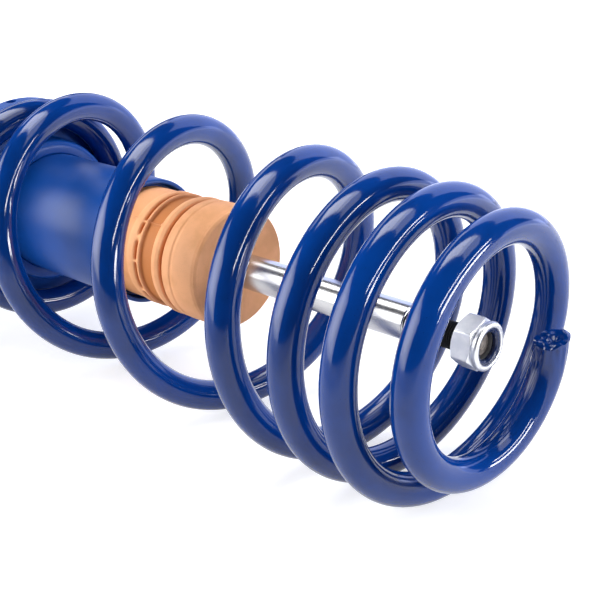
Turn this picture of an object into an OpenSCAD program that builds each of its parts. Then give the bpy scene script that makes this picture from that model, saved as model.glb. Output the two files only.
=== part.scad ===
// Suspension strut lying along +X: a coil spring over a twin-tube damper.
// The origin is the centre of the lower eye. The rod points to +X, +Z is up,
// and the bolt of the lower eye runs along Y.

/* [Lower eye] */
// Outside diameter of the welded eye ring
eye_d = 46; // [42:0.5:54]
// Wall thickness of the eye ring
eye_wall = 4; // [3:0.25:5]
// Width of the eye ring along its bolt
eye_width = 40; // [34:1:44]
// Outside diameter of the steel sleeve inside the rubber
sleeve_d = 20; // [17:0.5:22]
// Bolt hole through the steel sleeve
bolt_hole_d = 12.2; // [8.2:0.1:14.2]
// Length of the steel sleeve, clamped between the car's brackets
sleeve_len = 48; // [46:0.5:60]

/* [Damper tube] */
// Outside diameter of the damper tube
tube_d = 55; // [53:0.5:58]
// Wall thickness of the damper tube
tube_wall = 2; // [1.5:0.1:2.5]
// Length of the damper tube
tube_len = 234; // [226:1:250]
// Distance from the eye ring to the damper tube
tube_gap = 7; // [6:0.5:10]
// Inside diameter of the pressure cylinder
cylinder_d = 35; // [34:0.5:38]
// Wall thickness of the pressure cylinder
cylinder_wall = 1.5; // [1:0.1:2]

/* [Piston rod] */
// Diameter of the chromed piston rod
rod_d = 14; // [12:0.25:16]
// Chromed length standing out of the cap when fully out
rod_out = 141; // [136:1:160]
// Diameter of the threaded stud and of the spigot that carries the piston
stud_d = 10; // [8:0.25:11]
// Length of the threaded stud above the shoulder
stud_len = 29.5; // [26:0.5:34]

/* [Top nut] */
// Width across the flats of the locking nut
nut_flats = 17; // [16.5:0.5:19]
// Height of the hexagonal part of the nut
nut_hex_len = 8; // [7:0.25:9]
// Height of the round collar that holds the nylon ring
nut_collar_len = 2.75; // [2.25:0.25:4]
// How far the stud stays below the nut's outer face
stud_recess = 3.5; // [2.5:0.25:4]

/* [Cap] */
// Height of the cap above the end of the tube
cap_lip = 7; // [6:0.5:10]
// How deep the cap plugs into the tube
cap_plug = 8; // [6:0.5:10]
// Depth of the cup in the cap that the bump stop sits in
cup_depth = 4.5; // [3:0.25:5]

/* [Bump stop] */
// Wall of the cap's cup round the foam bump stop
cup_wall = 2; // [1.5:0.1:3.5]
// Length of the foam bump stop
bump_len = 57.8; // [52:0.2:64]
// Depth of the narrow grooves round the bump stop
groove_depth = 2.8; // [1:0.1:3.5]

/* [Spring seat] */
// Outside diameter of the spring seat's rim
seat_d = 102; // [98:1:112]
// How far the raised hub that centres the spring stands out from the tube
hub_step = 6.1; // [5:0.1:6.4]
// Height of the hub above the seating face
hub_rise = 14; // [12:0.5:20]
// Sheet thickness of the spring seat
seat_sheet = 3; // [2:0.1:3.5]
// Depth of the rim that is turned back
rim_depth = 10.5; // [9:0.5:16]
// Distance from the eye's centre to the seating face
seat_x = 186.8; // [160:0.1:195]
// Diameter of the drain holes in the rim
drain_d = 5; // [3:0.5:6]
// Number of drain holes round the rim
drain_count = 3; // [1:1:6]

/* [Spring] */
// Diameter of the spring wire
wire_d = 12.4; // [10:0.1:12.8]
// Diameter of the close coils, measured to the middle of the wire
close_d = 101.8; // [98:0.2:106]
// Diameter of the open coils, measured to the middle of the wire
open_d = 104; // [98:0.2:110]
// Number of turns
turns = 7; // [6.9:0.05:7.05]
// Diameter at which the wire starts at the free end
tip_d = 64; // [58:1:90]
// Gap between the hub and the coil that sits on the seat
foot_gap = 0.6; // [0.4:0.1:2]
// Pitch of the close coils at the free end
close_pitch = 22.4; // [20:0.1:26]
// Pitch of the open coils
open_pitch = 70; // [50:0.5:74]
// Lean of the spring downwards, in degrees
lean_down = 1.4; // [0:0.1:2.4]
// Lean of the spring sideways, in degrees
lean_side = 0.9; // [0:0.1:1.2]
// Bow of the spring's axis upwards, at its middle
bow = 0.8; // [0:0.1:2]
// Tilt of the upper coils to the side, in degrees
coil_tilt = 2.2; // [0:0.1:3]
// Tilt of the coils forwards, in degrees
coil_nod = 3.9; // [0:0.1:4.5]
// Clock position of the wire's free end, in degrees
tip_angle = 4; // [-20:1:20]

/* [Hidden] */
$fn = 64;

// Clearances, used wherever two pieces meet
press_gap = 0.05;   // radial gap of pieces that are pressed, bonded or crimped together
run_gap = 0.05;     // radial gap of pieces that slide or turn in each other
weld_gap = 0.1;     // radial gap of a welded piece before the weld closes it
foam_gap = 0.3;     // gap round the foam bump stop
rest_gap = 0.3;     // gap between the rebound stop and the rod guide

// Lower eye
eye_r = eye_d / 2;
rubber_r = eye_r - eye_wall;
sleeve_r = sleeve_d / 2;
rubber_width = eye_width - 2;
lip_r = sleeve_r + 0.55 * (rubber_r - sleeve_r);
lip_width = eye_width + 3;

// Damper tube and what closes it
tube_r = tube_d / 2;
bore_r = tube_r - tube_wall;
plug_r = bore_r - press_gap;
tube_x0 = eye_r + tube_gap;
tube_x1 = tube_x0 + tube_len;
neck_r = 16;
weld_w = 2;
cap_x0 = tube_x1 - cap_plug;
cap_x1 = tube_x1 + cap_lip;
cup_x = cap_x1 - cup_depth;
base_top_x = tube_x0 + 10;

// Pressure cylinder, rod guide and seal
cylinder_r = cylinder_d / 2;
cylinder_out_r = cylinder_r + cylinder_wall;
guide_flange = 8;
guide_spigot = 12;
guide_x1 = cap_x0;
guide_shoulder_x = guide_x1 - guide_flange;
guide_x0 = guide_shoulder_x - guide_spigot;
rod_r = rod_d / 2;
bushing_r = rod_r + 2;
bushing_len = 12;
seal_r = rod_r + 8;
seal_len = 6;
ring_section = 2.2;
foot_len = 6;
flange_len = 6;
valve_spigot = 8;
valve_flange_x = base_top_x + foot_len;
cylinder_x0 = valve_flange_x + flange_len;

// Rod, piston and valves
stud_r = stud_d / 2;
shoulder_x = cap_x1 + rod_out;
stud_x1 = shoulder_x + stud_len;
stop_len = 8;
stop_x1 = guide_x0 - rest_gap;
collar_len = 4;
collar_x1 = stop_x1 - stop_len;
collar_x0 = collar_x1 - collar_len;
piston_gap = 10;
spigot_x1 = collar_x0 - piston_gap;
disc_t = 0.6;
disc_count = 3;
stack_t = disc_t * disc_count;
backing_t = 2.2;
piston_len = 14;
piston_x1 = spigot_x1 - backing_t - stack_t;
piston_x0 = piston_x1 - piston_len;
band_len = 8;
band_t = 1.2;
piston_nut_len = 8;
piston_nut_flats = 1.7 * stud_d;
piston_nut_x0 = piston_x0 - stack_t - piston_nut_len;
spigot_x0 = piston_nut_x0 - 3;
port_d = 3.4;
port_count = 6;
valve_bolt_r = 3;
valve_head_len = 3.5;

// Top nut
nut_x1 = stud_x1 + stud_recess;
collar_base_x = nut_x1 - nut_collar_len;
nut_x0 = collar_base_x - nut_hex_len;
nut_collar_r = nut_flats / 2 + 0.35;
nut_mouth_r = nut_collar_r - 2.3;
nut_ring_r = nut_collar_r - 1.2;
nut_ring_len = 2.1;
nut_ring_x0 = nut_x1 - 0.6 - nut_ring_len;

// Bump stop
cup_r = tube_r - cup_wall;
bump_r = cup_r - foam_gap;
bump_bore_r = rod_r + 0.4;

// Spring seat
seat_r = seat_d / 2;
hub_r = tube_r + hub_step;
seat_bore_r = tube_r + weld_gap;
hub_x = seat_x + hub_rise;
bend = 3;
drain_angle = 7;

// Spring: pitch for each turn, against the turn counted from the free end
PITCH = [
    [0, 0], [0.35, 0.36 * close_pitch], [0.7, 0.92 * close_pitch], [1.6, 1.06 * close_pitch],
    [2.4, 1.02 * close_pitch], [3, 0.92 * close_pitch], [3.5, 0.76 * open_pitch],
    [4, 0.91 * open_pitch], [4.7, 1.05 * open_pitch], [5.4, 1.02 * open_pitch],
    [6, 0.85 * open_pitch], [6.5, 0.02 * open_pitch], [6.9, 0]
];
draw_in = 1;                  // turns over which the wire widens at the free end
foot_turns = 1.4;             // turns from the start of the foot's draw-in to the end of the wire
foot_draw_in = 1.2;           // turns over which the coil narrows to the foot
open_turns = [2, 4.5];        // the close coils widen to the open coils between these turns
tilt_turns = [2, 5.5];        // the tilt to the side fades out between these turns
nod_turns = [0, 6.5];         // the tilt forwards fades out between these turns
rings_per_turn = 8;
wire_sides = 6;
wire_r = wire_d / 2;
ring_r = 1.05 * wire_r;       // corner radius of the six-sided wire
flat_r = ring_r * cos(180 / wire_sides);
coil_reach = 2 / (1 + cos(180 / rings_per_turn));  // puts the mean of an eight-sided turn on the coil
foot_shift = [-2.3, 2.4];     // where the foot stands on the seat, in Y and Z
foot_r = (hub_r + foot_gap + norm(foot_shift) + ring_r) / (coil_reach * cos(180 / rings_per_turn));

function arc(centre, r, from, to, n = 6) =
    [for (i = [0:n]) centre + r * [cos(from + (to - from) * i / n), sin(from + (to - from) * i / n)]];

// A solid of revolution about X. Points are [radius, x].
module turned(points) {
    rotate([0, 90, 0]) rotate([0, 0, 90]) rotate_extrude() polygon(points);
}

module rod_x(r, x0, x1) {
    translate([x0, 0, 0]) rotate([0, 90, 0]) cylinder(r = r, h = x1 - x0);
}

module tube_x(r_out, r_in, x0, x1) {
    turned([[r_in, x0], [r_out, x0], [r_out, x1], [r_in, x1]]);
}

module hex_x(flats, x0, x1) {
    translate([x0, 0, 0]) rotate([0, 90, 0])
        cylinder(r = flats / 2 / cos(30), h = x1 - x0, $fn = 6);
}

module ports_x(r_ring, d, x0, x1, count) {
    for (i = [0:count - 1])
        rotate([i * 360 / count, 0, 0]) translate([0, 0, r_ring]) rod_x(d / 2, x0, x1);
}

module disc_stack(x0, bore, r_first, step, direction) {
    for (i = [0:disc_count - 1]) {
        near = x0 + direction * i * disc_t;
        far = near + direction * disc_t;
        tube_x(r_first - i * step, bore, min(near, far), max(near, far));
    }
}

// Lower eye, with its axis along Y

module ring_y(r_out, r_in, width) {
    rotate([90, 0, 0]) difference() {
        cylinder(r = r_out, h = width, center = true);
        cylinder(r = r_in, h = width + 2, center = true);
    }
}

module eye_ring() {
    color("royalblue") ring_y(eye_r, rubber_r, eye_width);
}

module eye_bush() {
    color("dimgray") rotate([90, 0, 0]) difference() {
        union() {
            cylinder(r = rubber_r - press_gap, h = rubber_width, center = true);
            cylinder(r = lip_r, h = lip_width, center = true);
        }
        cylinder(r = sleeve_r + run_gap, h = lip_width + 2, center = true);
    }
}

module eye_sleeve() {
    color("silver") ring_y(sleeve_r, bolt_hole_d / 2, sleeve_len);
}

// Damper tube, closed at both ends

module bottom_cap() {
    neck_x = eye_r - 8;
    flange_x = tube_x0 - 4;
    bead_r = tube_r + weld_w;
    color("royalblue") difference() {
        turned([
            [0, neck_x], [neck_r, neck_x], [neck_r, flange_x - 2], [neck_r + 2, flange_x],
            [tube_r - 3, flange_x], [tube_r, flange_x + 2], [bead_r, tube_x0 - 1],
            [bead_r, tube_x0 + 1], [tube_r + weld_gap, tube_x0 + 3],
            [tube_r + weld_gap, tube_x0], [plug_r, tube_x0], [plug_r, base_top_x],
            [0, base_top_x]
        ]);
        rotate([90, 0, 0]) cylinder(r = eye_r + press_gap, h = 2 * tube_d, center = true);
    }
}

module damper_tube() {
    color("royalblue") tube_x(tube_r, bore_r, tube_x0, tube_x1);
}

module pressure_cylinder() {
    color("lightgray") tube_x(cylinder_out_r, cylinder_r, cylinder_x0, guide_shoulder_x);
}

module end_cap() {
    edge = 1.2;
    color("royalblue") turned(concat(
        [[rod_r + 0.5, cap_x0], [plug_r, cap_x0], [plug_r, tube_x1], [tube_r, tube_x1]],
        arc([tube_r - edge, cap_x1 - edge], edge, 0, 90),
        [[cup_r, cap_x1], [cup_r, cup_x], [rod_r + 0.5, cup_x]]
    ));
}

module rod_guide() {
    groove_x = (guide_shoulder_x + guide_x1) / 2;
    half = ring_section / 2 + 0.2;
    groove_r = bore_r - ring_section - press_gap;
    color("gray") turned([
        [bushing_r + press_gap, guide_x0], [cylinder_r - press_gap, guide_x0],
        [cylinder_r - press_gap, guide_shoulder_x], [plug_r, guide_shoulder_x],
        [plug_r, groove_x - half], [groove_r, groove_x - half], [groove_r, groove_x + half],
        [plug_r, groove_x + half], [plug_r, guide_x1], [seal_r + press_gap, guide_x1],
        [seal_r + press_gap, guide_x1 - seal_len], [bushing_r + press_gap, guide_x1 - seal_len]
    ]);
}

module guide_bushing() {
    color("peru") tube_x(bushing_r, rod_r + run_gap, guide_x0 + 1, guide_x0 + 1 + bushing_len);
}

module rod_seal() {
    lip = seal_len / 6;
    waist_r = rod_r + run_gap + 1.6 * lip;
    color("black") turned([
        [rod_r + run_gap, guide_x1 - seal_len], [seal_r, guide_x1 - seal_len],
        [seal_r, guide_x1], [waist_r, guide_x1],
        [rod_r + run_gap, guide_x1 - lip], [rod_r + run_gap, guide_x1 - 2 * lip],
        [waist_r, guide_x1 - 3 * lip], [rod_r + run_gap, guide_x1 - 4 * lip]
    ]);
}

module guide_o_ring() {
    color("black") rotate([0, 90, 0])
        translate([0, 0, (guide_shoulder_x + guide_x1) / 2])
            rotate_extrude() translate([bore_r - press_gap - ring_section / 2, 0])
                circle(r = ring_section / 2 - press_gap);
}

// Foot valve between the cylinder and the bottom cap

module base_valve_body() {
    slot = 8;
    color("gray") difference() {
        turned([
            [valve_bolt_r + press_gap, valve_flange_x], [cylinder_r - 5, valve_flange_x],
            [cylinder_r - 5, base_top_x], [cylinder_out_r, base_top_x],
            [cylinder_out_r, cylinder_x0], [cylinder_r - press_gap, cylinder_x0],
            [cylinder_r - press_gap, cylinder_x0 + valve_spigot],
            [valve_bolt_r + press_gap, cylinder_x0 + valve_spigot]
        ]);
        for (a = [0, 90])
            rotate([a, 0, 0]) translate([base_top_x - 1, -slot / 2, -tube_r])
                cube([foot_len - 1, slot, 2 * tube_r]);
        ports_x(cylinder_r / 2 + 1, port_d, valve_flange_x - 1, cylinder_x0 + valve_spigot + 1,
            port_count);
    }
}

module base_valve_discs() {
    color("lightsteelblue") {
        disc_stack(cylinder_x0 + valve_spigot, valve_bolt_r + press_gap, cylinder_r - 4, 2, 1);
        disc_stack(valve_flange_x, valve_bolt_r + press_gap, cylinder_r - 6.5, 1.5, -1);
    }
}

module base_valve_bolt() {
    top = cylinder_x0 + valve_spigot + stack_t;
    low = valve_flange_x - stack_t;
    color("silver") {
        hex_x(10, top, top + valve_head_len);
        rod_x(valve_bolt_r, low, top);
        tube_x(valve_bolt_r + 2.5, 0, low - 2, low);
    }
}

// Rod and piston, drawn fully out

module piston_rod() {
    chamfer = 1;
    color("gainsboro") turned([
        [0, spigot_x0], [stud_r - chamfer, spigot_x0], [stud_r, spigot_x0 + chamfer],
        [stud_r, spigot_x1], [rod_r, spigot_x1], [rod_r, shoulder_x - chamfer / 2],
        [rod_r - chamfer / 2, shoulder_x], [stud_r, shoulder_x],
        [stud_r, stud_x1 - chamfer], [stud_r - chamfer, stud_x1], [0, stud_x1]
    ]);
}

module rebound_stop() {
    color("darkslategray") turned(concat(
        [[rod_r + press_gap, collar_x1], [rod_r + 4, collar_x1]],
        arc([rod_r + 4, (collar_x1 + stop_x1) / 2], stop_len / 2, -60, 60),
        [[rod_r + 4, stop_x1], [rod_r + press_gap, stop_x1]]
    ));
}

module rebound_collar() {
    color("silver") tube_x(rod_r + 3.5, rod_r + press_gap, collar_x0, collar_x1);
}

module piston() {
    out_r = cylinder_r - 0.2;
    groove_r = cylinder_r - run_gap - band_t - press_gap;
    band_x0 = (piston_x0 + piston_x1 - band_len) / 2 - press_gap;
    band_x1 = band_x0 + band_len + 2 * press_gap;
    color("gray") difference() {
        turned([
            [stud_r + press_gap, piston_x0], [out_r - 1, piston_x0], [out_r, piston_x0 + 1],
            [out_r, band_x0], [groove_r, band_x0], [groove_r, band_x1], [out_r, band_x1],
            [out_r, piston_x1 - 1], [out_r - 1, piston_x1], [stud_r + press_gap, piston_x1]
        ]);
        ports_x(stud_r + 5, port_d, piston_x0 - 1, piston_x1 + 1, port_count);
    }
}

module piston_band() {
    mid = (piston_x0 + piston_x1) / 2;
    color("saddlebrown")
        tube_x(cylinder_r - run_gap, cylinder_r - run_gap - band_t, mid - band_len / 2, mid + band_len / 2);
}

module compression_discs() {
    color("lightsteelblue") {
        disc_stack(piston_x1, stud_r + press_gap, cylinder_r - 3, 2, 1);
        tube_x(stud_r + 5, stud_r + press_gap, piston_x1 + stack_t, spigot_x1);
    }
}

module rebound_discs() {
    color("lightsteelblue") disc_stack(piston_x0, stud_r + press_gap, cylinder_r - 3, 2, -1);
}

module piston_nut() {
    color("silver") difference() {
        hex_x(piston_nut_flats, piston_nut_x0, piston_x0 - stack_t);
        rod_x(stud_r + press_gap, piston_nut_x0 - 1, piston_x0);
    }
}

// Locking nut on the stud

module nut_hex_body() {
    corner_r = nut_flats / 2 / cos(30);
    flat_r = nut_flats / 2 - 0.3;
    slope = (corner_r - flat_r) * tan(30);
    intersection() {
        hex_x(nut_flats, nut_x0, collar_base_x);
        turned([
            [0, nut_x0], [flat_r, nut_x0], [corner_r, nut_x0 + slope],
            [corner_r, collar_base_x - slope], [flat_r, collar_base_x], [0, collar_base_x]
        ]);
    }
}

module top_nut() {
    edge = 0.9;
    core_r = nut_flats / 2 - 1;
    color("silver") difference() {
        union() {
            nut_hex_body();
            turned(concat(
                [[0, collar_base_x - 1], [core_r, collar_base_x - 1], [core_r, collar_base_x],
                [nut_collar_r, collar_base_x]],
                arc([nut_collar_r - edge, nut_x1 - edge], edge, 0, 90),
                [[0, nut_x1]]
            ));
        }
        rod_x(stud_r + press_gap, nut_x0 - 1, nut_x1 + 1);
        rod_x(nut_ring_r, nut_ring_x0 - press_gap, nut_ring_x0 + nut_ring_len + press_gap);
        turned([
            [0, nut_x1 - 1], [nut_mouth_r, nut_x1 - 1], [nut_mouth_r, nut_x1 - 0.4],
            [nut_mouth_r + 0.4, nut_x1], [nut_mouth_r + 0.4, nut_x1 + 1], [0, nut_x1 + 1]
        ]);
    }
}

module nut_ring() {
    color("navy") tube_x(nut_ring_r - press_gap, stud_r + press_gap, nut_ring_x0,
        nut_ring_x0 + nut_ring_len);
}

// Foam bump stop on the rod, standing in the cap's cup

module bump_stop() {
    low = bump_r - 0.5;       // the end ring and the thin ring are slightly slimmer
    neck = bump_r - 1.2;      // the plain end next to the cap
    foot = bump_r - groove_depth;
    valley = bump_r - 2.2;
    edge = 1.5;               // rounding of the end ring and of the body's start
    lip = 0.6;                // rounding of the thin ring
    swell = 2;                // rounding of the ridge and of the free end
    x1 = cup_x + bump_len;
    body_x = x1 - 18.8;       // where the smooth body starts
    ridge_x = body_x - 7.9;   // where the rounded ridge starts
    thin_x = ridge_x - 8.8;   // where the thin ring starts
    ring_x = thin_x - 6.3;    // where the end ring starts
    color("sandybrown") turned(concat(
        [[bump_bore_r, cup_x], [neck - 1, cup_x], [neck, cup_x + 1], [neck, ring_x - 1]],
        arc([low - edge, ring_x + edge], edge, -60, 0),
        arc([low - edge, thin_x - 1.7 - edge], edge, 0, 90),
        [[foot, thin_x - 1.5], [foot, thin_x - 0.7]],
        arc([low - lip, thin_x + lip], lip, -90, 0),
        arc([low - lip, thin_x + 0.8], lip, 0, 70),
        [[valley, thin_x + 2.2], [valley, ridge_x - 0.6]],
        arc([bump_r - swell - 0.2, ridge_x + 1.8], swell, -70, 0),
        arc([bump_r - swell - 0.2, ridge_x + 3.4], swell, 0, 70),
        [[foot, ridge_x + 5.7], [foot, ridge_x + 6.5]],
        arc([bump_r - edge, body_x + edge], edge, -90, 0),
        arc([bump_r - swell, x1 - swell], swell, 0, 90),
        [[bump_bore_r, x1]]
    ));
}

// Pressed spring seat, welded to the tube

module spring_seat() {
    t = seat_sheet;
    rim_x = seat_x - rim_depth;
    crease = 0.5;
    color("royalblue") difference() {
        turned(concat(
            [[seat_bore_r, hub_x - t], [hub_r - t, hub_x - t], [hub_r - t, seat_x - t]],
            [[seat_r - t, seat_x - t], [seat_r - t, rim_x], [seat_r, rim_x]],
            arc([seat_r - bend, seat_x - bend], bend, 0, 90),
            arc([hub_r + crease, seat_x + crease], crease, 270, 180, 3),
            arc([hub_r - bend, hub_x - bend], bend, 0, 90),
            [[seat_bore_r, hub_x]]
        ));
        for (i = [0:drain_count - 1])
            rotate([drain_angle + i * 360 / drain_count, 0, 0])
                translate([rim_x + (rim_depth - bend) / 2, 0, 0])
                    cylinder(d = drain_d, h = seat_r + 5);
    }
}

// Coil spring: one unbroken six-sided tube

function vsum(list, i = 0) = i >= len(list) ? 0 : list[i] + vsum(list, i + 1);

// Distance below the free end after u turns, summed over short straight stretches of the pitch law
function drop(u) =
    let (n = max(1, ceil(u * 5 * rings_per_turn)), h = u / n)
    h * vsum([for (i = [0:n - 1]) lookup((i + 0.5) * h, PITCH)]);

spring_len = drop(turns);

// Share of the way from one turn to another
function way(u, turn) = max(0, min(1, (u - turn[0]) / (turn[1] - turn[0])));

function coil_r(u) =
    let (foot_u = turns - foot_turns)
    (close_d + (tip_d - close_d) * (1 - way(u, [0, draw_in])) + (open_d - close_d) * way(u, open_turns)
        + (2 * foot_r - open_d) * way(u, [foot_u, foot_u + foot_draw_in])) / 2;

// Middle of a coil that stands x above the seat
function coil_axis(x) =
    let (share = x / spring_len)
    [
        foot_shift[0] - x * tan(lean_side),
        foot_shift[1] - x * tan(lean_down) + 4 * bow * share * (1 - share)
    ];

// Middle of the wire after u turns. The foot lies in the seat's plane at x = 0.
function wire_point(u) =
    let (
        a = tip_angle - 360 * u,
        r = coil_r(u) * coil_reach,
        x = spring_len - drop(u),
        tilt = tan(coil_tilt) * (1 - way(u, tilt_turns)),
        nod = tan(coil_nod) * (1 - way(u, nod_turns)),
        centre = coil_axis(x)
    )
    [x + r * (tilt * cos(a) + nod * sin(a)), centre[0] + r * cos(a), centre[1] + r * sin(a)];

function unit(v) = v / norm(v);

// Rings stand at eight to a turn. Each end of the wire runs on straight for one wire diameter.
tip_turn = wire_d / (PI * tip_d);
foot_turn = turns - wire_d / (2 * PI * foot_r);
ring_count = round((foot_turn - tip_turn) * rings_per_turn);
middle = [
    for (i = [0:ring_count])
        wire_point(tip_turn + (foot_turn - tip_turn) * i / ring_count)
];
path = concat(
    [middle[0] + wire_d * unit(middle[0] - middle[1])],
    middle,
    [middle[ring_count] + wire_d * unit(middle[ring_count] - middle[ring_count - 1])]
);

// One ring of corners, with two flats of the wire facing along X
function ring_at(i) =
    let (
        before = path[max(0, i - 1)],
        after = path[min(len(path) - 1, i + 1)],
        along = unit(after - before),
        centre = coil_axis(path[i][0]),
        out = unit([0, path[i][1] - centre[0], path[i][2] - centre[1]]),
        side = unit(cross(along, out)),
        square = cross(side, along)
    )
    [
        for (k = [0:wire_sides - 1])
            let (a = k * 360 / wire_sides)
            path[i] + ring_r * (cos(a) * square + sin(a) * side)
    ];

module wire_tube() {
    last = (len(path) - 1) * wire_sides;
    points = [for (i = [0:len(path) - 1]) for (p = ring_at(i)) p];
    walls = [
        for (i = [0:len(path) - 2]) for (k = [0:wire_sides - 1])
            let (
                a = i * wire_sides + k,
                b = i * wire_sides + (k + 1) % wire_sides,
                c = a + wire_sides,
                d = b + wire_sides
            )
            each [[a, b, d], [a, d, c]]
    ];
    ends = [
        for (k = [1:wire_sides - 2])
            each [[0, k + 1, k], [last, last + k, last + k + 1]]
    ];
    polyhedron(points = points, faces = concat(walls, ends));
}

module coil_spring() {
    color("mediumblue") translate([seat_x + flat_r, 0, 0]) wire_tube();
}

// Least gap of the wire to itself, on points that lie at least half a turn apart
probe = 24;
probes = [for (u = [0:1 / probe:turns]) wire_point(u)];
gaps = [
    for (i = [0:len(probes) - 1]) for (j = [i + probe / 2:1:len(probes) - 1])
        norm(probes[i] - probes[j]) - 2 * ring_r
];
echo(least_gap_of_the_wire_to_itself = min(gaps));

eye_ring();
eye_bush();
eye_sleeve();
bottom_cap();
damper_tube();
pressure_cylinder();
base_valve_body();
base_valve_discs();
base_valve_bolt();
end_cap();
rod_guide();
guide_bushing();
rod_seal();
guide_o_ring();
piston_rod();
rebound_stop();
rebound_collar();
piston();
piston_band();
compression_discs();
rebound_discs();
piston_nut();
top_nut();
nut_ring();
bump_stop();
spring_seat();
coil_spring();
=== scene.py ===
"""Dresses the packed suspension strut: spring, seat, damper tube, foam stop, rod, nut and eye."""

import math

import bmesh
import bpy
from bpy.props import FloatProperty, FloatVectorProperty, IntProperty, PointerProperty
from mathutils import Matrix, Vector, noise


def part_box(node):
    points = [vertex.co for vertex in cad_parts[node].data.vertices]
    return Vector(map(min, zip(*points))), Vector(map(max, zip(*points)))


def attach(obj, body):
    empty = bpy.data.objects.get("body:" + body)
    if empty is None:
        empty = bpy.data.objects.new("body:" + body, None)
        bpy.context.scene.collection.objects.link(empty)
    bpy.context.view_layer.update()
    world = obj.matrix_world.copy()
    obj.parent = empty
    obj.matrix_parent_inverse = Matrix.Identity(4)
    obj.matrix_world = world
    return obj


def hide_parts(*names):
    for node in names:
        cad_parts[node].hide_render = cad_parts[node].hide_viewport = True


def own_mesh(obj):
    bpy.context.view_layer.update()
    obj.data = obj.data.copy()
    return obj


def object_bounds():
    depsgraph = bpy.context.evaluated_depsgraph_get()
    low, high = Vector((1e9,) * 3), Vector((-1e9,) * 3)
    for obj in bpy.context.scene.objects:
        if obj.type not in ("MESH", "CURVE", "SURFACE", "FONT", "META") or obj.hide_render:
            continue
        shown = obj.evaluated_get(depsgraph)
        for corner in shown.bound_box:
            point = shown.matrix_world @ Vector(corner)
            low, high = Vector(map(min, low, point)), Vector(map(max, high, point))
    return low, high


bl_info = {
    "name": "Suspension Strut",
    "version": (1, 0, 0),
    "blender": (4, 5, 0),
    "location": "View3D > Sidebar > Strut",
    "description": "Builds the finished pieces of a suspension strut round its packed solids",
    "category": "Object",
}

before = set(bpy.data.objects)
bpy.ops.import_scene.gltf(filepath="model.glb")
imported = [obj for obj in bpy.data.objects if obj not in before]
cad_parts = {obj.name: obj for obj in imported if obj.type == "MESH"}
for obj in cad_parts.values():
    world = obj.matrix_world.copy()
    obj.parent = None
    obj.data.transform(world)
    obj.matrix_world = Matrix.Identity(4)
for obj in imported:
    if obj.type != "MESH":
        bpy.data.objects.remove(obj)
CAD_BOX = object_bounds()
MM = 0.001
TURN = 2 * math.pi
MERGE = 1e-7  # Vertices closer than this are one
AXIS = 0.01 * MM  # Radius at which an outline counts as closed on its axis
PLAY = 0.05 * MM  # Between pieces that would share a face
STOP_BODY = 18.8 * MM  # Length of the foam stop's smooth body, from its front

SEAT_LOW, SEAT_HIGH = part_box("spring_seat")
TUBE_LOW, TUBE_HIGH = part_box("damper_tube")
_, CAP_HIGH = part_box("end_cap")
STOP_LOW, STOP_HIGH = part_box("bump_stop")
ROD_LOW, ROD_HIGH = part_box("piston_rod")
NUT_LOW, NUT_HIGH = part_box("top_nut")
RING_LOW, RING_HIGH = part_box("nut_ring")
_, EYE_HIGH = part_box("eye_ring")
_, BUSH_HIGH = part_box("eye_bush")
_, SLEEVE_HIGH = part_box("eye_sleeve")
_, BASE_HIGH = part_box("bottom_cap")


# ---------------------------------------------------------------- sizes and colours


def length_prop(name, description, default):
    return FloatProperty(name=name, description=description, default=default, unit="LENGTH")


def angle_prop(name, description, degrees):
    return FloatProperty(
        name=name, description=description, default=math.radians(degrees), subtype="ANGLE"
    )


def colour_prop(name, description, default):
    return FloatVectorProperty(
        name=name, description=description, default=default, subtype="COLOR", size=3, min=0, max=1
    )


class StrutSpringSizes(bpy.types.PropertyGroup):
    """The coil spring"""

    wire_d: length_prop("Wire", "Diameter of the wire", 12.4 * MM)
    close_d: length_prop(
        "Close coils", "Diameter of the close coils, to the middle of the wire", 101.8 * MM
    )
    open_d: length_prop(
        "Open coils", "Diameter of the open coils, to the middle of the wire", 104 * MM
    )
    tip_d: length_prop("Tip", "Diameter at which the wire starts", 64 * MM)
    foot_d: length_prop("Foot", "Diameter of the coil on the seat", 87.6 * MM)
    turns: FloatProperty(name="Turns", description="Number of turns", default=7)
    close_pitch: length_prop("Close pitch", "Pitch of the coils near the rod's end", 22.4 * MM)
    open_pitch: length_prop("Open pitch", "Pitch of the open coils", 70 * MM)
    clock: angle_prop("Tip angle", "Clock position of the wire's tip", 4)
    lean_down: angle_prop("Lean down", "Lean of the spring's axis downwards", 1.4)
    lean_side: angle_prop("Lean aside", "Lean of the spring's axis sideways", 0.9)
    bow: length_prop("Bow", "Bow of the spring's axis upwards, at its middle", 0.8 * MM)
    coil_tilt: angle_prop("Coil tilt", "Tilt of the upper coils to the side", 2.2)
    coil_nod: angle_prop("Coil nod", "Tilt of the coils forwards", 3.9)
    foot_y: length_prop("Foot aside", "Place of the foot on the seat, in Y", -2.3 * MM)
    foot_z: length_prop("Foot up", "Place of the foot on the seat, in Z", 2.4 * MM)


class StrutDamperSizes(bpy.types.PropertyGroup):
    """Seat, tube, cap and rod"""

    sheet: length_prop("Seat sheet", "Sheet thickness of the spring seat", 3 * MM)
    hub_step: length_prop("Hub step", "How far the seat's hub stands out from the tube", 6.1 * MM)
    hub_rise: length_prop("Hub rise", "Height of the hub above the seating face", 14 * MM)
    drain_d: length_prop("Drain hole", "Diameter of the drain holes in the seat's rim", 5 * MM)
    drain_clock: angle_prop("Drain angle", "Clock position of the first drain hole", 7)
    cap_wall: length_prop("Cap wall", "Wall of the cap's cup", 2 * MM)
    rod_d: length_prop("Rod", "Diameter of the chromed rod", ROD_HIGH.z - ROD_LOW.z)
    stud_d: length_prop("Stud", "Outside diameter of the threaded stud", 10 * MM)
    stud_len: length_prop("Stud length", "Length of the threaded stud", 29 * MM)
    thread_pitch: length_prop("Thread pitch", "Pitch of the stud's thread", 1 * MM)


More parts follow.
